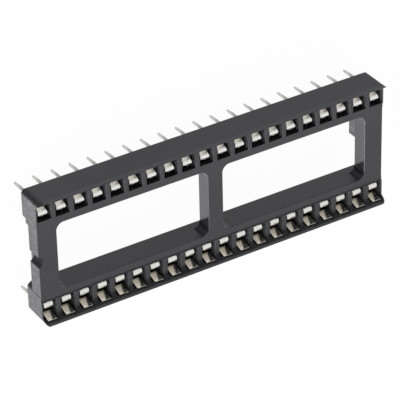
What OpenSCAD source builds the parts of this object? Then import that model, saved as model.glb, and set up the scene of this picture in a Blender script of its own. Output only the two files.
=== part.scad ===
// Open-frame DIP socket with two rows of stamped dual-leaf contacts.
// X runs along the rows, Y across them, and Z points out of the lead slots.
// The origin is the middle of the board seat, which is the underside of the feet.

/* [Contact rows] */
// Number of contacts in each row
ways = 20; // [8:1:20]
// Distance between neighbouring contacts
pitch = 2.54; // [2.5:0.02:2.6]
// Distance between the two rows of tails
row_gap = 15.24; // [14.8:0.04:16]

/* [Housing] */
// Height of the slot face above the board
slot_face_h = 3.55; // [3.4:0.05:4]
// Thickness of the end wall beside the first and the last slot
end_wall = 0.14; // [0.12:0.02:0.4]
// From the row's centre line out to the long outer side
outer_reach = 1.2; // [1.16:0.02:1.4]
// From the row's centre line in to the window
inner_reach = 2.91; // [2.75:0.02:3.15]
// Radius of a rail's upright corners
rail_round = 0.6; // [0.4:0.05:0.7]
// How far the feet stand below the rails
foot_proud = 0.03; // [0.02:0.01:0.08]

/* [Lip] */
// Height of the outer lip above the slot face
lip_h = 1.18; // [1:0.02:1.4]
// Width of the flat land on top of the lip
lip_land = 0.04; // [0.04:0.02:0.1]
// Size of the chamfer inside the top of the lip
lip_chamfer = 0.22; // [0.16:0.02:0.26]
// Width of the lead-in ramp inside the lip
ramp_w = 0.58; // [0.52:0.02:0.64]

/* [Slots] */
// Width of a slot along the row
slot_w = 1.98; // [1.9:0.02:2.04]
// From the row's centre line to the slot's inner wall
slot_in = 1.78; // [1.74:0.02:1.9]
// From the row's centre line to the slot's outer wall
slot_out = 0.8; // [0.78:0.01:0.86]
// Height of the ribs between the slots above the slot face
rib_h = 0.12; // [0.08:0.02:0.18]
// Width of the raised strip along the slots' inner ends
rib_land = 0.06; // [0.04:0.02:0.12]
// Thickness of the slot floor
floor_t = 0.45; // [0.35:0.05:0.55]
// Clearance around a contact where the housing holds it
hold_gap = 0.03; // [0.02:0.01:0.05]

/* [Bars] */
// Depth of the end bars and the cross bar
bar_d = 2.23; // [1.8:0.05:2.6]
// Width of an end bar
end_bar_w = 2.68; // [2.3:0.1:3.2]
// Width of the cross bar in the middle
mid_bar_w = 2.16; // [1.6:0.1:2.8]
// How far an end bar sits back from the rail ends
bar_setback = 0.04; // [0.02:0.02:0.2]
// Radius of the window corners
window_round = 1.05; // [0.6:0.05:1.4]
// Radius of the pin-1 notch
notch_r = 0.8; // [0.6:0.05:1]
// How far the notch's centre lies outside the bar
notch_out = 0.2; // [0.1:0.05:0.3]
// Width of a foot under an end bar
foot_w = 1.8; // [1.2:0.1:2.1]
// From the middle of an end bar to the near end of its foot
foot_start = 0.42; // [0.3:0.05:1]
// Side of the square stub that the mould's gate leaves under the pin-1 bar
gate_w = 0.35; // [0.25:0.05:0.6]
// Depth of the gate stub
gate_d = 0.55; // [0.3:0.05:0.7]

/* [Contacts] */
// Thickness of the contact strip
strip_t = 0.2; // [0.16:0.02:0.22]
// Width of the leaves
leaf_w = 1.26; // [1:0.02:1.4]
// Width of a tail
tail_w = 0.4; // [0.35:0.05:0.55]
// Length of a tail below the board seat
tail_len = 3.4; // [2.6:0.05:4]
// Length of the tapered end of a tail
tail_point = 0.8; // [0.5:0.1:1.2]
// Width of the blunt tip of a tail
tail_tip_w = 0.16; // [0.1:0.02:0.3]
// How far up the ramp the outer leaf reaches above the slot face
outer_tip_h = 0.67; // [0.5:0.01:0.72]
// From the row's centre line out to the knee of the outer leaf
outer_knee = 0.61; // [0.57:0.01:0.64]
// Height of the outer leaf's knee above the slot floor
outer_knee_h = 2.72; // [2.6:0.04:2.8]
// From the row's centre line out to the foot of the outer leaf
outer_foot = 0.42; // [0.36:0.02:0.46]
// From the row's centre line in to the tip of the inner leaf
inner_tip = 1.28; // [1.16:0.02:1.36]
// Depth of the inner leaf's tip below the slot face
inner_tip_d = 0.53; // [0.45:0.01:0.6]
// From the row's centre line in to the crest of the inner leaf
inner_crest = 0.84; // [0.78:0.01:0.9]
// Depth of the inner leaf's crest below the slot face
inner_crest_d = 0.34; // [0.28:0.01:0.4]
// Width of the stub by which the strip hung on its carrier
nub_w = 0.4; // [0.2:0.02:0.5]
// Length of the carrier stub
nub_l = 0.08; // [0.06:0.02:0.16]
// Gap between the leaves where they grip a lead
grip_gap = 0.14; // [0.1:0.02:0.18]
// Height of the outer leaf's grip above the slot floor
outer_grip_h = 1.92; // [1.8:0.04:2.2]
// Height of the inner leaf's grip above the slot floor
inner_grip_h = 2.12; // [2:0.04:2.2]
// From the row's centre line in to the root of the inner leaf
root_in = 0.78; // [0.7:0.02:0.9]
// Clearance at the root of the inner leaf
root_gap = 0.06; // [0.04:0.01:0.08]

/* [Hidden] */
// The lower row, at -Y, holds the first half of the contacts
ROW_NAMES = ["lower", "upper"];
COUNT = len(ROW_NAMES) * ways;
$fn = 48;

row_y = row_gap / 2;
row_l = (ways - 1) * pitch;
rail_l = row_l + slot_w + 2 * end_wall;
rail_out = row_y + outer_reach;
rail_in = row_y - inner_reach;
rail_w = rail_out - rail_in;
rail_bottom = foot_proud;
lip_top = slot_face_h + lip_h;
rib_top = slot_face_h + rib_h;
rib_in = row_y - slot_in - rib_land;
ramp_top = rail_out - lip_land - lip_chamfer;
bars_l = rail_l - 2 * bar_setback;
bar_bottom = slot_face_h - bar_d;
window_l = bars_l / 2 - end_bar_w - mid_bar_w / 2;
foot_x = bars_l / 2 - end_bar_w;
floor_z = rail_bottom + floor_t;
base_z = floor_z + hold_gap;
base_top = base_z + strip_t;
half_t = strip_t / 2;
root_z = base_top + root_gap + half_t;
hole_w = tail_w + 2 * hold_gap;
hole_t = strip_t + 2 * hold_gap;
// How far a cut runs clear of a face
over = 1;
// How far one block of the moulding runs into the next
join = 0.5;
// Number of straight steps in a bend
bend_steps = 6;
// Share of each straight run that a gentle bend takes up
bend_share = 0.35;
// Share of each straight run that the bend at a leaf's crest takes up
crest_share = 0.2;
base_in = root_in + half_t;
base_w = slot_w - 2 * hold_gap;

function contact_name(n) = str("contact_", n < 10 ? "0" : "", n);
function springs_name(row) = str(row, "_row_spring_leaves");
function way_x(i) = i * pitch - row_l / 2;

// Points on the leaves' centre lines, as [out from the row's line, height]
ramp_up = unit([ramp_w, lip_h - lip_chamfer - rib_h]);
into_ramp = [ramp_up[1], -ramp_up[0]];
ramp_foot = [ramp_top - ramp_w - row_y, rib_top];
outer_tip_at = ramp_foot + ramp_up * (outer_tip_h - rib_h) / ramp_up[1] + half_t * into_ramp;
outer_knee_at = [outer_knee, floor_z + outer_knee_h];
outer_grip_at = [grip_gap / 2 + half_t, floor_z + outer_grip_h];
outer_base_at = [outer_foot, base_z + half_t];
inner_root_at = [-root_in, root_z];
inner_grip_at = [-grip_gap / 2 - half_t, floor_z + inner_grip_h];
inner_crest_at = [-inner_crest, slot_face_h - inner_crest_d];
inner_tip_at = [-inner_tip, slot_face_h - inner_tip_d];
nub_at = inner_tip_at + nub_l * unit(inner_tip_at - inner_crest_at);
leaf_up = unit(outer_tip_at - outer_knee_at);
// Far top corner of the pocket in the ramp that takes the outer leaf
pocket_at = outer_tip_at + (half_t + hold_gap) * [leaf_up[1], -leaf_up[0]];
pocket_foot_z = pocket_at[1] - (pocket_at[0] - slot_out) * leaf_up[1] / leaf_up[0];

outer_line = concat(
    [outer_tip_at],
    bend(outer_tip_at, outer_knee_at, outer_grip_at, bend_share),
    bend(outer_knee_at, outer_grip_at, outer_base_at, bend_share),
    [outer_base_at]
);
inner_line = concat(
    [inner_root_at],
    bend(inner_root_at, inner_grip_at, inner_crest_at, bend_share),
    bend(inner_grip_at, inner_crest_at, inner_tip_at, crest_share),
    [inner_tip_at]
);

// Points of a smooth bend at corner b, on the way from a to c
function bend(a, b, c, share) =
    let (from = b + share * (a - b), to = b + share * (c - b))
    [for (s = [0:bend_steps]) curve(from, b, to, s / bend_steps)];
function curve(a, b, c, t) = (1 - t) * (1 - t) * a + 2 * t * (1 - t) * b + t * t * c;

// Outline of a strip of even thickness along a line of points
function strip(line) = concat(
    [for (k = [0:len(line) - 1]) line[k] + half_t * side(line, k)],
    [for (k = [len(line) - 1:-1:0]) line[k] - half_t * side(line, k)]
);
function side(line, k) =
    let (
        before = unit(line[max(k, 1)] - line[max(k, 1) - 1]),
        after = unit(line[min(k + 1, len(line) - 1)] - line[min(k + 1, len(line) - 1) - 1]),
        along = unit(before + after)
    )
    [-along[1], along[0]] / (along * after);
function unit(v) = v / norm(v);

// Rectangle about the origin with round corners
module round_plan(size, r) {
    square([size[0] - 2 * r, size[1]], center = true);
    square([size[0], size[1] - 2 * r], center = true);
    for (x = [-1, 1], y = [-1, 1])
        translate([x * (size[0] / 2 - r), y * (size[1] / 2 - r)])
            circle(r);
}

// Puts a child that is drawn for the row at +Y on the named row
module on_row(row) {
    if (row == ROW_NAMES[0])
        mirror([0, 1, 0])
            children();
    else
        children();
}

// Cross-section drawn as [out from the row's line, height], given width along X
module across(w) {
    translate([-w / 2, row_y, 0])
        rotate([90, 0, 90])
            linear_extrude(w)
                children();
}

module rail() {
    intersection() {
        translate([-rail_l / 2, 0, 0])
            rotate([90, 0, 90])
                linear_extrude(rail_l)
                    polygon([
                        [rail_in, rail_bottom],
                        [rail_out, rail_bottom],
                        [rail_out, lip_top],
                        [rail_out - lip_land, lip_top],
                        [ramp_top, lip_top - lip_chamfer],
                        [ramp_top - ramp_w, rib_top],
                        [rib_in, rib_top],
                        [rib_in, slot_face_h],
                        [rail_in, slot_face_h]
                    ]);
        translate([0, (rail_in + rail_out) / 2, 0])
            linear_extrude(lip_top)
                round_plan([rail_l, rail_w], rail_round);
    }
}

module slot_cut() {
    translate([-slot_w / 2, row_y - slot_in, floor_z])
        cube([slot_w, slot_in + slot_out, lip_top - floor_z + over]);
    across(leaf_w + 2 * hold_gap)
        polygon([
            [0, pocket_foot_z],
            [slot_out, pocket_foot_z],
            pocket_at,
            [pocket_at[0], lip_top + over],
            [0, lip_top + over]
        ]);
    translate([-hole_w / 2, row_y - hole_t / 2, rail_bottom - over])
        cube([hole_w, hole_t, floor_t + 2 * over]);
}

module bars() {
    bars_w = 2 * (rail_in + rail_round);
    translate([0, 0, bar_bottom])
        linear_extrude(bar_d)
            difference() {
                square([bars_l, bars_w], center = true);
                for (x = [-1, 1])
                    translate([x * (mid_bar_w + window_l) / 2, 0])
                        round_plan([window_l, 2 * rail_in], window_round);
                translate([-bars_l / 2 - notch_out, 0])
                    circle(notch_r);
            }
}

module foot() {
    translate([foot_x, foot_start, 0])
        cube([foot_w, rail_in + join - foot_start, bar_bottom + join]);
}

module gate_stub() {
    translate([-bars_l / 2, rail_in - gate_w, bar_bottom - gate_d])
        cube([gate_w, gate_w + join, gate_d + join]);
}

module housing() {
    color([0.16, 0.16, 0.17])
        union() {
            difference() {
                for (row = ROW_NAMES)
                    on_row(row)
                        rail();
                for (row = ROW_NAMES, i = [0:ways - 1])
                    on_row(row)
                        translate([way_x(i), 0, 0])
                            slot_cut();
            }
            bars();
            for (a = [0, 180])
                rotate([0, 0, a])
                    foot();
            gate_stub();
        }
}

module tail() {
    tip_z = -tail_len;
    translate([0, row_y + half_t, 0])
        rotate([90, 0, 0])
            linear_extrude(strip_t)
                polygon([
                    [-tail_w / 2, base_z + half_t],
                    [tail_w / 2, base_z + half_t],
                    [tail_w / 2, tip_z + tail_point],
                    [tail_tip_w / 2, tip_z],
                    [-tail_tip_w / 2, tip_z],
                    [-tail_w / 2, tip_z + tail_point]
                ]);
}

module contact_body() {
    union() {
        across(leaf_w)
            polygon(strip(outer_line));
        across(base_w)
            translate([-base_in, base_z])
                square([base_in + outer_foot + half_t, strip_t]);
        tail();
    }
}

module spring_leaf() {
    union() {
        across(leaf_w) {
            polygon(strip(inner_line));
            translate(inner_root_at)
                circle(half_t);
        }
        across(nub_w)
            polygon(strip([(inner_crest_at + inner_tip_at) / 2, nub_at]));
    }
}

// Contacts count along the lower row from the notch, then back along the upper row
module contact(n) {
    row = n <= ways ? ROW_NAMES[0] : ROW_NAMES[1];
    i = n <= ways ? n - 1 : COUNT - n;
    color([0.86, 0.84, 0.79])
        on_row(row)
            translate([way_x(i), 0, 0])
                contact_body();
}

module spring_leaves(row) {
    color([0.9, 0.88, 0.84])
        on_row(row)
            for (i = [0:ways - 1])
                translate([way_x(i), 0, 0])
                    spring_leaf();
}

housing();
for (n = [1:COUNT])
    contact(n);
for (row = ROW_NAMES)
    spring_leaves(row);
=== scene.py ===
"""Finish of an open-frame chip socket: a black moulded frame and two rows of stamped, tinned contacts."""

import math
from collections import namedtuple

import bmesh
import bpy
from bpy.props import FloatProperty, FloatVectorProperty, PointerProperty
from mathutils import Matrix, Quaternion, Vector


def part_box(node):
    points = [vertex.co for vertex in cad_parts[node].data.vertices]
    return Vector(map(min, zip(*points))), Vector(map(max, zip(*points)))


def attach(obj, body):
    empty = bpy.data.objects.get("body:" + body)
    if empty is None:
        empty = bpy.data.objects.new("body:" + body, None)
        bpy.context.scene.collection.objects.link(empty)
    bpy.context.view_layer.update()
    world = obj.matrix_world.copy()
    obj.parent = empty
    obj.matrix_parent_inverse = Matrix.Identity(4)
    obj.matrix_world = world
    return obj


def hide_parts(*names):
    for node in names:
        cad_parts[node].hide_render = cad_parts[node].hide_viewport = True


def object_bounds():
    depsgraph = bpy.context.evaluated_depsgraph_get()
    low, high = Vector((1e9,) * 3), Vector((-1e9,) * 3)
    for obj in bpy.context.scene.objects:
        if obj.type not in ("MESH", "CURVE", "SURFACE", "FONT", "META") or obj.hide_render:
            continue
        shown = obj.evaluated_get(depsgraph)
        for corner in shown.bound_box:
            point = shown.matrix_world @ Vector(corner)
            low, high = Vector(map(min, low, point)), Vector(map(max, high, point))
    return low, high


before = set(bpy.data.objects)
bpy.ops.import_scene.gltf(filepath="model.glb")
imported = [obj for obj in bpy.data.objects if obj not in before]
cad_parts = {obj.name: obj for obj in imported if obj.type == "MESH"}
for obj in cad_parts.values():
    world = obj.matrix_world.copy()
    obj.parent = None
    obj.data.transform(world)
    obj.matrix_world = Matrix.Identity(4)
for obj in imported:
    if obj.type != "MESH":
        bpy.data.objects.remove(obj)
CAD_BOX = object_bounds()

bl_info = {
    "name": "Chip Socket Finish",
    "version": (1, 0, 0),
    "blender": (4, 5, 0),
    "location": "View3D > Sidebar > Socket",
    "description": "Dresses an open-frame chip socket: moulded frame, stamped contacts and sprung leaves",
    "category": "Object",
}

MM = 0.001
WHITE = (1.0, 1.0, 1.0, 1.0)

# Places and sizes of the CAD nodes
WAYS = sum(name.startswith("contact_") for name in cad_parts) // 2
FIRST_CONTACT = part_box("contact_01")
SECOND_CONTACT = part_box("contact_02")
PITCH = SECOND_CONTACT[0].x - FIRST_CONTACT[0].x
LEAF_TIP = -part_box("lower_row_spring_leaves")[1].y
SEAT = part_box("housing")[0].z
LIP_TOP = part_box("housing")[1].z
OUTER_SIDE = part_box("housing")[1].y

# Turn of each row about Z, from the place of the first way
ROWS = {"lower": 0.0, "upper": math.pi}

# How near two places are to count as one, and two corners of a CAD mesh to be merged
TOUCH = 0.005 * MM
MERGE = 0.002 * MM
FLAT_ANGLE = math.radians(1)


class FrameFinish(bpy.types.PropertyGroup):
    """Sizes and colours of the moulded frame."""

    slot_radius: FloatProperty(
        name="Slot edge radius",
        description="Radius of the edges around the lead slots",
        default=0.022 * MM,
        unit="LENGTH",
    )
    lip_radius: FloatProperty(
        name="Lip edge radius",
        description="Radius of the edges on top of the lips",
        default=0.016 * MM,
        unit="LENGTH",
    )
    window_radius: FloatProperty(
        name="Window edge radius",
        description="Radius of the upper edges of the windows",
        default=0.09 * MM,
        unit="LENGTH",
    )
    base_radius: FloatProperty(
        name="Base edge radius",
        description="Radius of the outer edges under the rails",
        default=0.15 * MM,
        unit="LENGTH",
    )
    slot_face: FloatProperty(
        name="Slot face",
        description="Height of the slot face and the bars above the board",
        default=3.55 * MM,
        unit="LENGTH",
    )
    window_reach: FloatProperty(
        name="Window reach",
        description="From the middle of the socket to a window's long side",
        default=4.71 * MM,
        unit="LENGTH",
    )
    window_end: FloatProperty(
        name="Window end",
        description="From the middle of the socket to a window's far end",
        default=22.54 * MM,
        unit="LENGTH",
    )
    flare_height: FloatProperty(
        name="Flare height",
        description="Height of the band at the top of the outer sides that leans out",
        default=0.78 * MM,
        unit="LENGTH",
    )
    flare: FloatProperty(
        name="Flare",
        description="How far that band leans out",
        default=0.04 * MM,
        unit="LENGTH",
    )
    corner_run: FloatProperty(
        name="Corner run",
        description="How far the round of the upper rail's corner runs along its side",
        default=0.9 * MM,
        unit="LENGTH",
    )
    sharp_angle: FloatProperty(
        name="Sharp angle",
        description="Angle between two faces above which their edge is rounded",
        default=math.radians(30),
        subtype="ANGLE",
    )
    plastic: FloatVectorProperty(
        name="Plastic",
        description="Colour of the black plastic",
        default=(0.011, 0.011, 0.0125),
        size=3,
        subtype="COLOR",
    )
    plastic_bloom: FloatVectorProperty(
        name="Plastic bloom",
        description="Colour of the paler clouds in the plastic's skin",
        default=(0.016, 0.016, 0.019),
        size=3,
        subtype="COLOR",
    )
    # Pale colour for scuffs, and for painted light on the faces that look at the notched end and painted
    # highlights on the windows' upper edges
    scuff_and_light_colour: FloatVectorProperty(
        name="Scuff",
        description="Colour of the skin where it is scuffed",
        default=(0.2, 0.2, 0.212),
        size=3,
        subtype="COLOR",
    )
    skin_roughness: FloatProperty(
        name="Skin roughness",
        description="Mean roughness of the moulded skin",
        default=0.42,
        subtype="FACTOR",
    )
    wall_roughness: FloatProperty(
        name="Wall roughness",
        description="Mean roughness of the smoother walls of the windows",
        default=0.15,
        subtype="FACTOR",
    )
    gloss: FloatProperty(
        name="Gloss",
        description="How strongly the skin mirrors its surroundings",
        default=0.52,
        subtype="FACTOR",
    )
    # Painted light: the upper rail's skin mirrors more, so that it looks lighter than the lower rail
    upper_rail_painted_light: FloatProperty(
        name="Upper gloss",
        description="How many times glossier the upper rail is than the lower one",
        default=1.15,
    )
    gloss_start: FloatProperty(
        name="Gloss start",
        description="From the middle towards the upper rail, to where the gloss begins to rise",
        default=1.0 * MM,
        unit="LENGTH",
    )
    gloss_end: FloatProperty(
        name="Gloss end",
        description="From the middle towards the upper rail, to where the gloss has risen in full",
        default=6.0 * MM,
        unit="LENGTH",
    )
    sheen: FloatVectorProperty(
        name="Sheen",
        description="Tint of what the skin mirrors",
        default=(0.94, 0.94, 1.0),
        size=3,
        subtype="COLOR",
    )
    grain: FloatProperty(
        name="Grain",
        description="Size of the fine grain that the mould leaves",
        default=0.09 * MM,
        unit="LENGTH",
    )
    grain_depth: FloatProperty(
        name="Grain depth",
        description="Depth of that grain",
        default=0.02 * MM,
        unit="LENGTH",
    )
    cloud: FloatProperty(
        name="Cloud",
        description="Size of the paler clouds in the plastic's skin",
        default=2.857 * MM,
        unit="LENGTH",
    )
    scuff_size: FloatProperty(
        name="Scuff size",
        description="Size of the scuffs",
        default=0.5 * MM,
        unit="LENGTH",
    )


class ContactFinish(bpy.types.PropertyGroup):
    """Sizes and colours of the stamped contacts."""

    edge_radius: FloatProperty(
        name="Edge radius",
        description="Radius of the stamped edges",
        default=0.03 * MM,
        unit="LENGTH",
    )
    sharp_angle: FloatProperty(
        name="Sharp angle",
        description="Angle between two faces above which their edge is rounded",
        default=math.radians(40),
        subtype="ANGLE",
    )
    crest_stretch: FloatProperty(
        name="Crest stretch",
        description="How many times broader the bend over the top of a sprung leaf is set",
        default=1.7165,
    )
    crest_middle: FloatProperty(
        name="Crest middle",
        description="From a sprung leaf's tip to the middle of that bend",
        default=0.654 * MM,
        unit="LENGTH",
    )
    crest_foot: FloatProperty(
        name="Crest foot",
        description="Height above the board from which that bend is broader",
        default=2.95 * MM,
        unit="LENGTH",
    )
    tip_length: FloatProperty(
        name="Tip length",
        description="Length of a sprung leaf's tip, which stays out of that bend",
        default=0.2 * MM,
        unit="LENGTH",
    )
    neck: FloatProperty(
        name="Neck",
        description="How much narrower a sprung leaf is below its top, on one side",
        default=0.17 * MM,
        unit="LENGTH",
    )
    neck_start: FloatProperty(
        name="Neck start",
        description="From a sprung leaf's tip to where it begins to narrow",
        default=0.55 * MM,
        unit="LENGTH",
    )
    neck_run: FloatProperty(
        name="Neck run",
        description="How far it goes on narrowing from there",
        default=0.42 * MM,
        unit="LENGTH",
    )
    leaf_knee: FloatProperty(
        name="Leaf knee",
        description="Height above the board at which a lower fixed leaf is bent",
        default=2.72 * MM,
        unit="LENGTH",
    )
    leaf_stand: FloatProperty(
        name="Leaf stand",
        description="How far a lower fixed leaf stands in for each length above its knee",
        default=0.04,
    )
    tail_lean: FloatProperty(
        name="Tail lean",
        description="How far a tail leans towards the notched end for each length below the board",
        default=0.05,
    )
    tip_spread: FloatProperty(
        name="Tip spread",
        description="Width of a tail's tip, as a share of the width that it was sheared to",
        default=1.5,
        subtype="FACTOR",
    )
    tip_radius: FloatProperty(
        name="Tip radius",
        description="Radius of the corners of a tail's tip",
        default=0.08 * MM,
        unit="LENGTH",
    )
    contact_tin: FloatVectorProperty(
        name="Contact tin",
        description="Colour of the plating on the fixed leaves",
        default=(0.86, 0.82, 0.75),
        size=3,
        subtype="COLOR",
    )
    leaf_tin: FloatVectorProperty(
        name="Leaf tin",
        description="Colour of the plating on the sprung leaves",
        default=(0.90, 0.895, 0.87),
        size=3,
        subtype="COLOR",
    )
    tail_tin: FloatVectorProperty(
        name="Tail tin",
        description="Colour of the dull plating on the tails",
        default=(0.60, 0.60, 0.585),
        size=3,
        subtype="COLOR",
    )
    tin_shade: FloatVectorProperty(
        name="Tin shade",
        description="Colour of the duller streaks in the plating",
        default=(0.70, 0.68, 0.62),
        size=3,
        subtype="COLOR",
    )
    # Painted shade: a fixed leaf is darker and browner deep in its slot
    contact_deep_shade: FloatVectorProperty(
        name="Contact bronze",
        description="Colour of a fixed leaf deep in its slot, where the plating is thin",
        default=(0.22, 0.20, 0.15),
        size=3,
        subtype="COLOR",
    )
    # Painted shade: a sprung leaf is darker and warmer deep in its slot
    leaf_deep_shade: FloatVectorProperty(
        name="Leaf bronze",
        description="Colour of a sprung leaf deep in its slot, where the plating is thin",
        default=(0.60, 0.54, 0.42),
        size=3,
        subtype="COLOR",
    )
    # Painted shade: a dull line over a sprung leaf's top bend, put at another place in each row
    bend: FloatVectorProperty(
        name="Bend",
        description="Colour of the thin lines where a sprung leaf's top is bent",
        default=(0.68, 0.68, 0.65),
        size=3,
        subtype="COLOR",
    )
    # Heights where the painted shade deep in a slot ends; the upper row's fixed leaves are painted bright
    # from lower down, as painted light
    lower_bright: FloatProperty(
        name="Lower bright height",
        description="Height above the board from which a lower fixed leaf is bright",
        default=3.6 * MM,
        unit="LENGTH",
    )
    upper_bright: FloatProperty(
        name="Upper bright height",
        description="Height above the board from which an upper fixed leaf is bright",
        default=2.4 * MM,
        unit="LENGTH",
    )
    leaf_bright: FloatProperty(
        name="Leaf bright height",
        description="Height above the board from which a sprung leaf is bright",
        default=2.7 * MM,
        unit="LENGTH",
    )
    # How far the painted shade deep in a slot fades in
    deep_shade_fade: FloatProperty(
        name="Bronze fade",
        description="How far below its bright part a leaf has turned to bronze",
        default=1.0 * MM,
        unit="LENGTH",
    )
    tail_fade: FloatProperty(
        name="Tail fade",
        description="How far below the board a tail has turned dull",
        default=0.5 * MM,
        unit="LENGTH",
    )
    # Places of the painted shade over the sprung leaves' tops, which differ between the rows
    lower_bend: FloatProperty(
        name="Lower bend",
        description="From a sprung leaf's tip to the dull line over its top, in the lower row",
        default=0.317 * MM,
        unit="LENGTH",
    )
    lower_bend_width: FloatProperty(
        name="Lower bend width",
        description="Width of the faces that are counted to that line in the lower row",
        default=0.06 * MM,
        unit="LENGTH",
    )
    upper_bend: FloatProperty(
        name="Upper bend",
        description="From a sprung leaf's tip to the dull band over its top, in the upper row",
        default=0.695 * MM,
        unit="LENGTH",
    )
    upper_bend_width: FloatProperty(
        name="Upper bend width",
        description="Width of the faces that are counted to that band in the upper row",
        default=0.27 * MM,
        unit="LENGTH",
    )
    contact_roughness: FloatProperty(
        name="Contact roughness",
        description="Mean roughness of the plating on the fixed leaves",
        default=0.19,
        subtype="FACTOR",
    )
    leaf_roughness: FloatProperty(
        name="Leaf roughness",
        description="Mean roughness of the plating on the sprung leaves",
        default=0.32,
        subtype="FACTOR",
    )
    contact_metal: FloatProperty(
        name="Contact metal",
        description="How much like bare metal the fixed leaves mirror",
        default=1.0,
        subtype="FACTOR",
    )
    leaf_metal: FloatProperty(
        name="Leaf metal",
        description="How much like bare metal the sprung leaves mirror",
        default=0.75,
        subtype="FACTOR",
    )
    streak: FloatProperty(
        name="Streak",
        description="Width of the rolling streaks in the strip",
        default=0.06 * MM,
        unit="LENGTH",
    )
    streak_share: FloatProperty(
        name="Streak share",
        description="Width of a streak as a share of its length",
        default=0.12,
        subtype="FACTOR",
    )
    streak_depth: FloatProperty(
        name="Streak depth",
        description="Depth of the streaks",
        default=0.01 * MM,
        unit="LENGTH",
    )
    blot: FloatProperty(
        name="Blot",
        description="Size of the patches in which the streaks show more",
        default=0.909 * MM,
        unit="LENGTH",
    )


class StageSetting(bpy.types.PropertyGroup):
    """Camera, light and floor."""

    azimuth: FloatProperty(
        name="Azimuth",
        description="Direction of the camera round the socket, from -Y",
        default=math.radians(-141.23),
        subtype="ANGLE",
    )
    elevation: FloatProperty(
        name="Elevation",
        description="Height of the camera above the horizon",
        default=math.radians(46.05),
        subtype="ANGLE",
    )
    turn: FloatProperty(
        name="Turn",
        description="Turn of the picture about the line of sight",
        default=math.radians(130.39),
        subtype="ANGLE",
    )
    distance: FloatProperty(
        name="Distance",
        description="From the camera to the point it aims at",
        default=333.47 * MM,
        unit="LENGTH",
    )
    aim: FloatVectorProperty(
        name="Aim",
        description="Point on the slot face in the middle of the picture",
        default=(-2.31 * MM, 0.91 * MM, 3.55 * MM),
        size=3,
        subtype="TRANSLATION",
    )
    lens: FloatProperty(
        name="Lens",
        description="Focal length in millimetres, for a sensor 36 mm wide",
        default=241.98,
    )
    sky: FloatProperty(
        name="Sky",
        description="Strength of the light from the white surround",
        default=1.0,
    )
    key_power: FloatProperty(
        name="Key power",
        description="Power of the soft light at the notched end",
        default=0.6,
        unit="POWER",
    )
    key_size: FloatProperty(
        name="Key size",
        description="Side of that light",
        default=0.2,
        unit="LENGTH",
    )
    key_place: FloatVectorProperty(
        name="Key place",
        description="Place of that light, which looks at the middle of the socket",
        default=(-0.24, -0.12, 0.12),
        size=3,
        subtype="TRANSLATION",
    )
    floor_size: FloatProperty(
        name="Floor size",
        description="Side of the floor",
        default=2.0,
        unit="LENGTH",
    )
    floor_paint: FloatVectorProperty(
        name="Floor paint",
        description="Colour of the floor",
        default=(0.9, 0.9, 0.9),
        size=3,
        subtype="COLOR",
    )
    floor_glow: FloatProperty(
        name="Floor glow",
        description="Share of plain white in what is seen of the floor",
        default=0.95,
        subtype="FACTOR",
    )


def add_node(tree, kind, inputs=None, **settings):
    """Adds a node to a tree, with its settings and the values or sockets of its inputs."""
    made = tree.nodes.new(kind)
    for key, value in settings.items():
        setattr(made, key, value)
    for key, value in (inputs or {}).items():
        if isinstance(value, bpy.types.NodeSocket):
            tree.links.new(value, made.inputs[key])
        else:
            made.inputs[key].default_value = value
    return made


def opaque(colour):
    """A colour with its alpha, as a colour socket takes it."""
    return (*colour, 1.0)


def new_material(name):
    """An empty node material with its tree and its output."""
    material = bpy.data.materials.new(name)
    material.use_nodes = True
    tree = material.node_tree
    tree.nodes.clear()
    output = add_node(tree, "ShaderNodeOutputMaterial")
    return material, tree, output


def object_place(tree):
    """Place on a piece, in the shared frame."""
    return add_node(tree, "ShaderNodeTexCoord").outputs["Object"]


def spread(tree, factor, low, high):
    """Maps a factor between nought and one to the span between two values."""
    made = add_node(
        tree,
        "ShaderNodeMapRange",
        {"Value": factor, "To Min": low, "To Max": high},
        clamp=False,
    )
    return made.outputs["Result"]


def times(tree, first, second):
    """Product of two sockets, or of a socket and a value."""
    return add_node(tree, "ShaderNodeMath", {0: first, 1: second}, operation="MULTIPLY").outputs["Value"]


def noise(tree, place, size, detail, roughness=0.5):
    """A soft random pattern between nought and one, with spots of about the given size."""
    made = add_node(
        tree,
        "ShaderNodeTexNoise",
        {"Vector": place, "Scale": 1 / size, "Detail": detail, "Roughness": roughness},
    )
    return made.outputs["Fac"]


def blend(tree, share, first, second, **settings):
    """A colour between two colours, by a share."""
    made = add_node(
        tree,
        "ShaderNodeMix",
        {"Factor": share, "A": first, "B": second},
        data_type="RGBA",
        **settings,
    )
    return made.outputs["Result"]


def mark(tree, name):
    """The value that a face of the piece carries under a name."""
    return add_node(tree, "ShaderNodeAttribute", attribute_name=name).outputs["Fac"]


def plastic_gloss(tree, place, finish):
    """Gloss of the moulded skin: the gloss painted on each wall as painted light and painted shade, with a
    little more painted light on the upper rail.
    """
    across = add_node(tree, "ShaderNodeSeparateXYZ", {"Vector": place}).outputs["Y"]
    lift = add_node(
        tree,
        "ShaderNodeMapRange",
        {
            "Value": across,
            "From Min": finish.gloss_start,
            "From Max": finish.gloss_end,
            "To Min": finish.gloss,
            "To Max": finish.gloss * finish.upper_rail_painted_light,
        },
        interpolation_type="SMOOTHSTEP",
    )
    return times(tree, mark(tree, "painted_gloss"), lift.outputs["Result"])


def scuffed_with_painted_light(tree, place, colour, finish):
    """A skin colour paled with scuffs where the skin is worn, and with painted light and painted highlights
    on the faces and edges that its mark picks out.
    """
    blots = noise(tree, place, finish.scuff_size, detail=6.0, roughness=0.7)
    share = times(tree, mark(tree, "scuffs_and_painted_light"), spread(tree, blots, low=-1.0, high=1.9))
    return blend(tree, share, colour, opaque(finish.scuff_and_light_colour))


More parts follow.
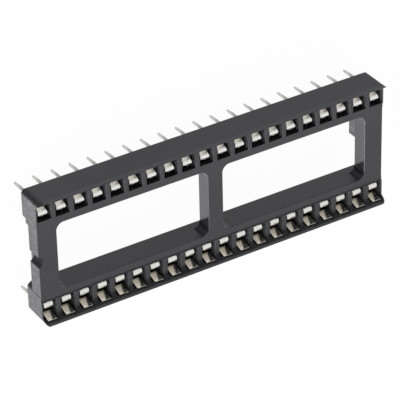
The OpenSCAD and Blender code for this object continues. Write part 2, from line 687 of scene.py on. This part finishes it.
def moulded_plastic(finish):
    """Black moulded plastic: satin skin with gloss painted face by face, soft clouds of colour, a fine
    grain, and pale scuffs with painted light and painted highlights.
    """
    material, tree, output = new_material("moulded_plastic")
    place = object_place(tree)
    clouds = noise(tree, place, finish.cloud, detail=4.0)
    grain = noise(tree, place, finish.grain, detail=3.0)
    colour = blend(tree, clouds, opaque(finish.plastic), opaque(finish.plastic_bloom))
    rough = times(tree, mark(tree, "rough"), spread(tree, grain, low=0.8, high=1.2))
    bump = add_node(
        tree,
        "ShaderNodeBump",
        {"Height": grain, "Strength": 0.12, "Distance": finish.grain_depth},
    )
    shader = add_node(
        tree,
        "ShaderNodeBsdfPrincipled",
        {
            "Base Color": scuffed_with_painted_light(tree, place, colour, finish),
            "Roughness": rough,
            "IOR": 1.55,
            "Specular IOR Level": plastic_gloss(tree, place, finish),
            "Specular Tint": opaque(finish.sheen),
            "Normal": bump.outputs["Normal"],
        },
    )
    tree.links.new(shader.outputs["BSDF"], output.inputs["Surface"])
    return material


# Look of a strip: its colour from the full height up and its painted shade deep in its slot, and how it
# mirrors
Plating = namedtuple("Plating", "bright deep full_height roughness metal")


def tin_by_height(tree, place, plating, finish):
    """Colour of the plating: dull on the tails, darker with painted shade deep in a slot, bright from the
    full height up.
    """
    bottom = SEAT - finish.tail_fade
    height = add_node(tree, "ShaderNodeSeparateXYZ", {"Vector": place}).outputs["Z"]
    share = add_node(tree, "ShaderNodeMapRange", {"Value": height, "From Min": bottom, "From Max": LIP_TOP})
    ramp = add_node(tree, "ShaderNodeValToRGB", {"Fac": share.outputs["Result"]})
    stops = (
        (bottom, finish.tail_tin),
        (SEAT, plating.deep),
        (plating.full_height - finish.deep_shade_fade, plating.deep),
        (plating.full_height, plating.bright),
    )
    marks = ramp.color_ramp.elements
    while len(marks) < len(stops):
        marks.new(0.5)
    for stop, (level, colour) in zip(marks, stops):
        stop.position = (level - bottom) / (LIP_TOP - bottom)
        stop.color = opaque(colour)
    return ramp.outputs["Color"]


def tin_plate(name, plating, finish):
    """Tin plating on rolled strip, with streaks along the strip and thin dull lines of painted shade at its
    bends.
    """
    material, tree, output = new_material(name)
    place = object_place(tree)
    stretch = (1.0, finish.streak_share, finish.streak_share)
    along = add_node(tree, "ShaderNodeMapping", {"Vector": place, "Scale": stretch}).outputs["Vector"]
    streaks = noise(tree, along, finish.streak, detail=3.0)
    blots = noise(tree, place, finish.blot, detail=2.0)
    tin = tin_by_height(tree, place, plating, finish)
    shade = opaque(finish.tin_shade)
    streaked = blend(tree, times(tree, streaks, blots), tin, shade, blend_type="MULTIPLY")
    # A line of painted shade over the bends of the sprung leaves
    colour = blend(tree, mark(tree, "bend"), streaked, opaque(finish.bend))
    bump = add_node(
        tree,
        "ShaderNodeBump",
        {"Height": streaks, "Strength": 0.06, "Distance": finish.streak_depth},
    )
    rough = spread(tree, streaks, low=0.7 * plating.roughness, high=1.3 * plating.roughness)
    shader = add_node(
        tree,
        "ShaderNodeBsdfPrincipled",
        {
            "Base Color": colour,
            "Metallic": plating.metal,
            "Roughness": rough,
            "Normal": bump.outputs["Normal"],
        },
    )
    tree.links.new(shader.outputs["BSDF"], output.inputs["Surface"])
    return material


def clean_copy(name):
    """A copy of a CAD node's mesh with its triangles merged into whole faces."""
    shape = bmesh.new()
    shape.from_mesh(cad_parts[name].data)
    bmesh.ops.remove_doubles(shape, verts=shape.verts, dist=MERGE)
    bmesh.ops.dissolve_limit(shape, angle_limit=FLAT_ANGLE, verts=shape.verts, edges=shape.edges)
    return shape


def round_edges(shape, edges, radius, segments=2):
    """Rounds the given edges of a shape."""
    bmesh.ops.bevel(
        shape,
        geom=edges,
        offset=radius,
        offset_type="OFFSET",
        segments=segments,
        profile=0.5,
        affect="EDGES",
        clamp_overlap=False,
        loop_slide=True,
    )


# Gloss painted on an upright wall by the wall's heading in degrees from +X: walls that look at the notched
# end mirror most, and the round corners that look between +Y and the notched end hardly at all, as painted
# light and painted shade
WALL_PAINTED_GLOSS = (
    (-180, 1.9),
    (-135, 1.1),
    (-90, 0.9),
    (0, 0.9),
    (70, 0.7),
    (90, 0.64),
    (98, 0.1),
    (112, 0.1),
    (122, 0.25),
    (138, 0.2),
    (150, 0.0),
    (172, 0.0),
    (176, 1.9),
    (180, 1.9),
)
# Gloss painted on the notched end, the round corners, the upper rail's outer side and its flare, the ramps
# and the slots, as painted light and painted shade; level faces keep the plain gloss
END_PAINTED_GLOSS = 1.8
CORNER_PAINTED_GLOSS = 0.2
RUN_PAINTED_GLOSS = 0.36
SIDE_PAINTED_GLOSS = 0.48
FLARE_PAINTED_GLOSS = 0.6
RAMP_PAINTED_GLOSS = 0.2
SLOT_PAINTED_GLOSS = 0.9
SLOT_END_PAINTED_GLOSS = 1.9
LEVEL_GLOSS = 1.0

# How much of the skin is paled: painted light on the faces that look at the notched end, painted highlights
# on the windows' upper edges, and scuffs
# The notched end is paled as painted light, with real scuffs mottled in
END_SCUFFS_AND_PAINTED_LIGHT = 0.6
# Window walls that look at the notched end are paled as painted light
WALL_PAINTED_LIGHT = 0.06
# Painted highlight along the windows' round upper edges
EDGE_PAINTED_HIGHLIGHT = 0.9
# Slot ends that look at the notched end are paled as painted light
SLOT_END_PAINTED_LIGHT = 0.5
SKIN_WEAR = 0.03

# Depth of the notched end's flat faces and of the whole end, and a half width that takes in the notch
END_FACE = 0.25 * MM
END_DEPTH = 0.7 * MM
NOTCH_REACH = 2 * MM

# Width of the bands along the outer sides, the ends and the seat that hold the edges under the rails
SIDE_BAND = 0.6 * MM
END_BAND = 0.55 * MM
SEAT_BAND = 0.05 * MM

# Least part of a face's unit normal along an axis, from square to it down to barely turned to it
SQUARE = 0.9
LEVEL = 0.5
TURNED = 0.3
ASKEW = 0.1
FACING = 0.02

# Upward part of the normals of the ramps and of the windows' round upper edges, from and to
RAMP_TILT = (0.5, 0.65)
RIM_TILT = (0.15, 0.95)


def wall_painted_gloss(normal):
    """Painted gloss of an upright wall that looks along the normal: painted light and painted shade in its
    reflections.
    """
    heading = math.degrees(math.atan2(normal.y, normal.x))
    for (low, start), (high, end) in zip(WALL_PAINTED_GLOSS, WALL_PAINTED_GLOSS[1:]):
        if low <= heading <= high:
            return start + (end - start) * (heading - low) / (high - low)
    raise ValueError(f"No polish for a wall at {heading} degrees")


def at_end(centre, depth):
    """Whether a place is within a depth of the end that has the notch."""
    return centre.x < CAD_BOX[0].x + depth


def in_window(centre, finish):
    """Whether a place is on the walls or the upper edges of the windows."""
    return abs(centre.y) < finish.window_reach + finish.window_radius and not at_end(centre, END_DEPTH)


def on_rim(centre, normal, finish):
    """Whether a face is on the round upper edge of a window."""
    low, high = RIM_TILT
    return in_window(centre, finish) and low < normal.z < high


def on_ramp(centre, normal, finish):
    """Whether a face is on the ramps that lead into the slots."""
    low, high = RAMP_TILT
    return centre.z > finish.slot_face and low < normal.z < high


def on_side(centre, finish):
    """Whether a place is on the outer sides of the rails."""
    return abs(centre.y) > OUTER_SIDE - 2 * finish.flare


def in_slot(centre, finish):
    """Whether a place is between the windows and the outer sides, where the lead slots are."""
    return abs(centre.y) > finish.window_reach + 2 * finish.window_radius and not on_side(centre, finish)


def end_painted_gloss(centre, normal):
    """Painted gloss of the notched end, as painted light: what looks at +Y, or is deep in the notch, is
    dull, as painted shade.
    """
    deep = not at_end(centre, END_FACE) and normal.x < -SQUARE and abs(centre.y) < NOTCH_REACH
    return CORNER_PAINTED_GLOSS if deep or normal.y > ASKEW else END_PAINTED_GLOSS


def side_painted_gloss(centre, finish):
    """Painted gloss of the upper rail's outer side, which is dull at its round corner, as painted shade."""
    if at_end(centre, finish.corner_run):
        return RUN_PAINTED_GLOSS
    return FLARE_PAINTED_GLOSS if centre.z > LIP_TOP - finish.flare_height else SIDE_PAINTED_GLOSS


def face_painted_gloss(centre, normal, finish):
    """Painted gloss of a moulded face, by its place and the way it looks: painted light and painted shade
    in its reflections.
    """
    if on_ramp(centre, normal, finish):
        return RAMP_PAINTED_GLOSS
    if abs(normal.z) > LEVEL:
        return LEVEL_GLOSS
    if at_end(centre, END_DEPTH) and normal.x < -FACING:
        return end_painted_gloss(centre, normal)
    if on_side(centre, finish) and normal.y > SQUARE:
        return side_painted_gloss(centre, finish)
    if in_slot(centre, finish):
        return SLOT_END_PAINTED_GLOSS if normal.x < -SQUARE else SLOT_PAINTED_GLOSS
    return wall_painted_gloss(normal)


def face_scuffs_and_painted_light(centre, normal, finish):
    """How much of a moulded face is paled: the notched end with painted light and scuffs, the windows'
    walls and the slots' ends that look at the notched end with painted light, the windows' round upper
    edges with painted highlights, and the rest with light scuffs.
    """
    if at_end(centre, END_FACE) and normal.x < -SQUARE:
        return END_SCUFFS_AND_PAINTED_LIGHT
    rim = on_rim(centre, normal, finish)
    # The windows' round upper edges get a painted highlight
    if rim and normal.x > TURNED:
        return EDGE_PAINTED_HIGHLIGHT
    # Window walls that look at the notched end get painted light, and their round upper edges a painted
    # highlight
    if in_window(centre, finish) and normal.x < -TURNED and normal.y < ASKEW:
        return EDGE_PAINTED_HIGHLIGHT if rim else WALL_PAINTED_LIGHT
    return SLOT_END_PAINTED_LIGHT if in_slot(centre, finish) and normal.x < -SQUARE else SKIN_WEAR


def face_roughness(centre, normal, finish):
    """Roughness of a moulded face: the windows' walls that look at the notched end are smoother."""
    wall = in_window(centre, finish) and normal.x < -SQUARE
    return finish.wall_roughness if wall else finish.skin_roughness


def mark_faces(piece, measures, finish):
    """Writes what each measure gives for each face of a piece under the measure's name."""
    for name, measure in measures.items():
        marks = piece.data.attributes.new(name, "FLOAT", "FACE")
        values = [measure(face.center, face.normal, finish) for face in piece.data.polygons]
        marks.data.foreach_set("value", values)


def outer_edges(shape, angle):
    """Edges of a shape that stick out and are sharper than the angle."""
    convex = [edge for edge in shape.edges if edge.is_manifold and edge.is_convex]
    return [edge for edge in convex if edge.calc_face_angle() > angle]


def edge_radius(edge, finish):
    """Radius of a sharp outer edge of the frame, by its place; nought leaves it sharp."""
    ends = [vert.co for vert in edge.verts]
    middle = (ends[0] + ends[1]) / 2
    if min(end.z for end in ends) > LIP_TOP - TOUCH:
        return finish.lip_radius
    if max(end.z for end in ends) < SEAT + SEAT_BAND:
        outside = abs(middle.y) > OUTER_SIDE - SIDE_BAND or abs(middle.x) > CAD_BOX[1].x - END_BAND
        return finish.base_radius if outside else 0.0
    on_face = all(abs(end.z - finish.slot_face) < TOUCH for end in ends)
    in_reach = abs(middle.y) < finish.window_reach + TOUCH and abs(middle.x) < finish.window_end + TOUCH
    return finish.window_radius if on_face and in_reach else finish.slot_radius


def weigh_edges(shape, finish):
    """Writes the radius of each sharp outer edge as its bevel weight, as a share of the largest."""
    weights = shape.edges.layers.float.new("bevel_weight_edge")
    radii = {edge: edge_radius(edge, finish) for edge in outer_edges(shape, finish.sharp_angle)}
    widest = max(radii.values())
    for edge, radius in radii.items():
        edge[weights] = radius / widest
    return widest


def cut_faces(shape, faces, place, normal):
    """Cuts some faces of a shape along the plane through a place, square to a normal."""
    verts = dict.fromkeys(vert for face in faces for vert in face.verts)
    edges = dict.fromkeys(edge for face in faces for edge in face.edges)
    geometry = [*verts, *edges, *faces]
    bmesh.ops.bisect_plane(shape, geom=geometry, dist=TOUCH, plane_co=place, plane_no=normal)


def flare_sides(shape, finish):
    """Draws in the outer sides below a band at their top, so that the band leans out."""
    height = LIP_TOP - finish.flare_height
    bend = OUTER_SIDE - SIDE_BAND
    corner = CAD_BOX[0].x + finish.corner_run
    cut_faces(shape, shape.faces[:], (0, 0, height), (0, 0, 1))
    sides = [face for face in shape.faces if face.normal.y > SQUARE and face.calc_center_median().y > bend]
    cut_faces(shape, sides, (corner, 0, 0), (1, 0, 0))
    for vert in shape.verts:
        out = abs(vert.co.y) - bend
        if out > 0 and vert.co.z < height + TOUCH:
            drawn = bend + out * (1 - finish.flare / (OUTER_SIDE - bend))
            vert.co.y = math.copysign(drawn, vert.co.y)


def finish_mesh(shape, name, material):
    """Turns a shape into an object with smooth faces."""
    mesh = bpy.data.meshes.new(name)
    shape.to_mesh(mesh)
    shape.free()
    for face in mesh.polygons:
        face.use_smooth = True
    mesh.materials.append(material)
    piece = bpy.data.objects.new(name, mesh)
    bpy.context.collection.objects.link(piece)
    return piece


def weigh_normals(piece):
    """Lets the large flat faces set the shading of the rounded edges beside them."""
    # The faces are weighed in millimetres, because areas in square metres are too small to be told apart
    piece.data.transform(Matrix.Scale(1 / MM, 4))
    modifier = piece.modifiers.new("flat faces", "WEIGHTED_NORMAL")
    modifier.keep_sharp = True
    modifier.weight = 100
    modifier.thresh = 0.0
    bake_modifiers(piece)
    piece.data.transform(Matrix.Scale(MM, 4))


def bake_modifiers(piece):
    """Makes the evaluated shape of a piece its plain mesh and drops its modifiers."""
    graph = bpy.context.evaluated_depsgraph_get()
    mesh = bpy.data.meshes.new_from_object(piece.evaluated_get(graph), depsgraph=graph)
    piece.modifiers.clear()
    piece.data = mesh
    mesh.name = piece.name


def row_tree():
    """Geometry nodes that repeat one stamped strip along a row and turn the row to its side."""
    tree = bpy.data.node_groups.new("contact_row", "GeometryNodeTree")
    sockets = tree.interface
    sockets.new_socket("Strip", in_out="INPUT", socket_type="NodeSocketGeometry")
    sockets.new_socket("Ways", in_out="INPUT", socket_type="NodeSocketInt")
    sockets.new_socket("Pitch", in_out="INPUT", socket_type="NodeSocketFloat")
    sockets.new_socket("Turn", in_out="INPUT", socket_type="NodeSocketFloat")
    sockets.new_socket("Plating", in_out="INPUT", socket_type="NodeSocketMaterial")
    sockets.new_socket("Row", in_out="OUTPUT", socket_type="NodeSocketGeometry")
    given = add_node(tree, "NodeGroupInput").outputs
    step = add_node(tree, "ShaderNodeCombineXYZ", {"X": given["Pitch"]})
    places = add_node(
        tree,
        "GeometryNodeMeshLine",
        {"Count": given["Ways"], "Offset": step.outputs["Vector"]},
        mode="OFFSET",
    )
    strips = add_node(
        tree,
        "GeometryNodeInstanceOnPoints",
        {"Points": places.outputs["Mesh"], "Instance": given["Strip"]},
    )
    turn = add_node(tree, "ShaderNodeCombineXYZ", {"Z": given["Turn"]})
    row = add_node(
        tree,
        "GeometryNodeTransform",
        {"Geometry": strips.outputs["Instances"], "Rotation": turn.outputs["Vector"]},
    )
    real = add_node(tree, "GeometryNodeRealizeInstances", {"Geometry": row.outputs["Geometry"]})
    plated = add_node(
        tree,
        "GeometryNodeSetMaterial",
        {"Geometry": real.outputs["Geometry"], "Material": given["Plating"]},
    )
    end = add_node(tree, "NodeGroupOutput")
    tree.links.new(plated.outputs["Geometry"], end.inputs["Row"])
    return tree


def repeat_in_row(piece, tree, turn, material):
    """Repeats a strip at the first way along its whole row."""
    inputs = [item for item in tree.interface.items_tree if item.in_out == "INPUT"]
    sockets = {item.name: item.identifier for item in inputs}
    modifier = piece.modifiers.new("row", "NODES")
    modifier.node_group = tree
    modifier[sockets["Ways"]] = WAYS
    modifier[sockets["Pitch"]] = PITCH
    modifier[sockets["Turn"]] = turn
    modifier[sockets["Plating"]] = material
    bake_modifiers(piece)


def first_strip(name):
    """The strip at the first way of the lower row, out of a CAD node that may hold a whole row."""
    shape = clean_copy(name)
    limit = FIRST_CONTACT[0].x + PITCH
    beyond = [vert for vert in shape.verts if vert.co.x > limit]
    bmesh.ops.delete(shape, geom=beyond, context="VERTS")
    return shape


def shape_tail(shape, lean, finish):
    """Broadens a tail's tip, leans the tail below the board and rounds the tip's corners."""
    lowest = min(vert.co.z for vert in shape.verts)
    tip = [vert for vert in shape.verts if vert.co.z < lowest + TOUCH]
    middle = sum(vert.co.x for vert in tip) / len(tip)
    for vert in tip:
        vert.co.x = middle + (vert.co.x - middle) * finish.tip_spread
    for vert in shape.verts:
        vert.co.x += lean * min(0.0, vert.co.z - SEAT)
    tip_edges = [edge for edge in shape.edges if all(vert in tip for vert in edge.verts)]
    corners = [edge for edge in tip_edges if across_strip(edge)]
    round_edges(shape, corners, finish.tip_radius, segments=3)


def stand_leaf(shape, finish):
    """Stands a fixed leaf more upright above its knee."""
    for vert in shape.verts:
        vert.co.y += finish.leaf_stand * max(0.0, vert.co.z - finish.leaf_knee)


def broaden_crest(shape, finish):
    """Broadens the bend over the top of a sprung leaf, so that it is nearly level up to a shoulder."""
    middle = -LEAF_TIP - finish.crest_middle
    for vert in shape.verts:
        if vert.co.z > finish.crest_foot and vert.co.y < -LEAF_TIP - finish.tip_length:
            vert.co.y = middle + (vert.co.y - middle) * finish.crest_stretch


def narrow_leaf(shape, finish):
    """Narrows a sprung leaf below its top, on the side towards the first way's end."""
    side = min(vert.co.x for vert in shape.verts)
    for vert in shape.verts:
        beyond = abs(vert.co.y) - LEAF_TIP - finish.neck_start
        on_top = vert.co.z > finish.crest_foot
        share = min(1.0, max(0.0, beyond / finish.neck_run)) if on_top else 1.0
        if vert.co.x < side + TOUCH:
            vert.co.x += finish.neck * share


def leaf_bend_shade(centre, normal, finish):
    """One where a sprung leaf's top is bent and gets a line of painted shade, and nought elsewhere."""
    from_tip = abs(centre.y) - LEAF_TIP
    upper = centre.y > 0
    bend = finish.upper_bend if upper else finish.lower_bend
    width = finish.upper_bend_width if upper else finish.lower_bend_width
    return float(abs(from_tip - bend) < width / 2 and normal.z > LEVEL)


def across_strip(edge):
    """Whether an edge runs along Y, through a strip that stands up."""
    first, second = (vert.co for vert in edge.verts)
    return abs(first.x - second.x) < TOUCH


def contact_nodes(row):
    """Names of the CAD contacts in a row."""
    first = 1 if row == "lower" else WAYS + 1
    return [f"contact_{number:02d}" for number in range(first, first + WAYS)]


class SOCKET_OT_frame(bpy.types.Operator):
    """Moulds the black frame, with its edges rounded as a mould leaves them"""

    bl_idname = "socket.frame"
    bl_label = "Moulded Frame"

    def execute(self, context):
        finish = context.scene.socket_frame
        shape = clean_copy("housing")
        flare_sides(shape, finish)
        widest = weigh_edges(shape, finish)
        piece = finish_mesh(shape, "moulded_frame", moulded_plastic(finish))
        bevel = piece.modifiers.new("round edges", "BEVEL")
        bevel.limit_method = "WEIGHT"
        bevel.width = widest
        bevel.segments = 3
        bevel.use_clamp_overlap = False
        bake_modifiers(piece)
        weigh_normals(piece)
        # Writes the painted gloss, the scuffs with painted light and painted highlights, and the roughness
        # of each face
        mark_faces(piece, {"painted_gloss": face_painted_gloss, "scuffs_and_painted_light": face_scuffs_and_painted_light, "rough": face_roughness}, finish)
        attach(piece, "frame")
        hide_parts("housing")
        return {"FINISHED"}


class SOCKET_OT_contacts(bpy.types.Operator):
    """Stamps one contact and repeats it along both rows"""

    bl_idname = "socket.contacts"
    bl_label = "Contacts"

    def execute(self, context):
        finish = context.scene.socket_contacts
        tree = row_tree()
        for row, turn in ROWS.items():
            plating = Plating(
                bright=finish.contact_tin,
                deep=finish.contact_deep_shade,
                # The upper row's fixed leaves are painted bright from lower down, as painted light
                full_height=finish.lower_bright if row == "lower" else finish.upper_bright,
                roughness=finish.contact_roughness,
                metal=finish.contact_metal,
            )
            material = tin_plate(f"{row}_tinned_strip", plating, finish)
            shape = first_strip("contact_01")
            shape_tail(shape, finish.tail_lean * math.cos(turn), finish)
            if row == "lower":
                stand_leaf(shape, finish)
            round_edges(shape, outer_edges(shape, finish.sharp_angle), finish.edge_radius)
            piece = finish_mesh(shape, f"{row}_row_contacts", material)
            repeat_in_row(piece, tree, turn, material)
            weigh_normals(piece)
            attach(piece, "frame")
            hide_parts(*contact_nodes(row))
        return {"FINISHED"}


class SOCKET_OT_leaves(bpy.types.Operator):
    """Stamps one sprung leaf and repeats it along both rows"""

    bl_idname = "socket.leaves"
    bl_label = "Sprung Leaves"

    def execute(self, context):
        finish = context.scene.socket_contacts
        plating = Plating(
            bright=finish.leaf_tin,
            deep=finish.leaf_deep_shade,
            full_height=finish.leaf_bright,
            roughness=finish.leaf_roughness,
            metal=finish.leaf_metal,
        )
        material = tin_plate("bright_tinned_leaf", plating, finish)
        tree = bpy.data.node_groups["contact_row"]
        for row, turn in ROWS.items():
            shape = first_strip("lower_row_spring_leaves")
            broaden_crest(shape, finish)
            narrow_leaf(shape, finish)
            round_edges(shape, outer_edges(shape, finish.sharp_angle), finish.edge_radius)
            piece = finish_mesh(shape, f"{row}_row_leaves", material)
            repeat_in_row(piece, tree, turn, material)
            weigh_normals(piece)
            mark_faces(piece, {"bend": leaf_bend_shade}, finish)
            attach(piece, f"{row}_leaves")
            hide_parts(f"{row}_row_spring_leaves")
        return {"FINISHED"}


def seen_directly(tree):
    """One for camera, mirror and clear rays, and nought for the light that falls on the socket."""
    path = add_node(tree, "ShaderNodeLightPath").outputs
    pair = add_node(
        tree,
        "ShaderNodeMath",
        {0: path["Is Camera Ray"], 1: path["Is Glossy Ray"]},
        operation="MAXIMUM",
    )
    made = add_node(
        tree,
        "ShaderNodeMath",
        {0: pair.outputs["Value"], 1: path["Is Transmission Ray"]},
        operation="MAXIMUM",
    )
    return made.outputs["Value"]


def pale_floor(setting):
    """White floor that keeps a faint shadow."""
    material, tree, output = new_material("pale_floor")
    dull = add_node(tree, "ShaderNodeBsdfDiffuse", {"Color": opaque(setting.floor_paint)})
    glow = add_node(tree, "ShaderNodeEmission", {"Color": WHITE, "Strength": 1.0})
    share = times(tree, seen_directly(tree), setting.floor_glow)
    mixed = add_node(
        tree,
        "ShaderNodeMixShader",
        {0: share, 1: dull.outputs["BSDF"], 2: glow.outputs["Emission"]},
    )
    tree.links.new(mixed.outputs["Shader"], output.inputs["Surface"])
    return material


def add_floor(setting, height):
    """The floor under the tails."""
    shape = bmesh.new()
    bmesh.ops.create_grid(shape, x_segments=1, y_segments=1, size=setting.floor_size / 2)
    bmesh.ops.translate(shape, verts=shape.verts, vec=(0, 0, height))
    mesh = bpy.data.meshes.new("floor")
    shape.to_mesh(mesh)
    shape.free()
    mesh.materials.append(pale_floor(setting))
    floor = bpy.data.objects.new("floor", mesh)
    bpy.context.collection.objects.link(floor)


def add_sky(strength):
    """An even white surround."""
    world = bpy.data.worlds.new("white_surround")
    world.use_nodes = True
    tree = world.node_tree
    background = tree.nodes["Background"]
    background.inputs["Color"].default_value = WHITE
    level = spread(tree, seen_directly(tree), low=strength, high=1.0)
    tree.links.new(level, background.inputs["Strength"])
    bpy.context.scene.world = world


def add_key_light(setting):
    """A soft light at the notched end."""
    light = bpy.data.lights.new("key_light", "AREA")
    light.shape = "SQUARE"
    light.size = setting.key_size
    light.energy = setting.key_power
    lamp = bpy.data.objects.new("key_light", light)
    lamp.location = setting.key_place
    lamp.rotation_mode = "QUATERNION"
    lamp.rotation_quaternion = (-lamp.location).to_track_quat("-Z", "Y")
    bpy.context.collection.objects.link(lamp)


def add_camera(setting):
    """The camera at the photograph's angle."""
    camera = bpy.data.cameras.new("camera")
    camera.lens = setting.lens
    camera.clip_start = setting.distance / 10
    camera.clip_end = setting.distance * 10
    seen = bpy.data.objects.new("camera", camera)
    back = Vector(
        (
            math.sin(setting.azimuth) * math.cos(setting.elevation),
            -math.cos(setting.azimuth) * math.cos(setting.elevation),
            math.sin(setting.elevation),
        )
    )
    seen.location = Vector(setting.aim) + back * setting.distance
    seen.rotation_mode = "QUATERNION"
    level = (-back).to_track_quat("-Z", "Y")
    seen.rotation_quaternion = level @ Quaternion((0, 0, 1), setting.turn)
    bpy.context.collection.objects.link(seen)
    bpy.context.scene.camera = seen


class SOCKET_OT_stage(bpy.types.Operator):
    """Sets the floor, the white surround, the key light and the camera"""

    bl_idname = "socket.stage"
    bl_label = "Stage"

    def execute(self, context):
        setting = context.scene.socket_stage
        context.scene.view_settings.view_transform = "Standard"
        add_floor(setting, CAD_BOX[0].z)
        add_sky(setting.sky)
        add_key_light(setting)
        add_camera(setting)
        return {"FINISHED"}


class SOCKET_PT_finish(bpy.types.Panel):
    """The socket's sizes, colours and pieces"""

    bl_label = "Chip Socket"
    bl_space_type = "VIEW_3D"
    bl_region_type = "UI"
    bl_category = "Socket"

    def draw(self, context):
        for operator in OPERATORS:
            self.layout.operator(operator.bl_idname)
        for name in SETTINGS:
            group = getattr(context.scene, name)
            box = self.layout.box()
            for key in group.__annotations__:
                box.prop(group, key)


OPERATORS = (SOCKET_OT_frame, SOCKET_OT_contacts, SOCKET_OT_leaves, SOCKET_OT_stage)
SETTINGS = {
    "socket_frame": FrameFinish,
    "socket_contacts": ContactFinish,
    "socket_stage": StageSetting,
}
CLASSES = (*SETTINGS.values(), *OPERATORS, SOCKET_PT_finish)


def register():
    """Makes the classes known and gives the scene its settings."""
    for cls in CLASSES:
        bpy.utils.register_class(cls)
    for name, group in SETTINGS.items():
        setattr(bpy.types.Scene, name, PointerProperty(type=group))


def unregister():
    """Takes the settings and the classes away again."""
    for name in SETTINGS:
        delattr(bpy.types.Scene, name)
    for cls in reversed(CLASSES):
        bpy.utils.unregister_class(cls)


def main():
    """Builds the pieces and the stage."""
    register()
    bpy.ops.socket.frame()
    bpy.ops.socket.contacts()
    bpy.ops.socket.leaves()
    bpy.ops.socket.stage()


if __name__ == "__main__":
    main()
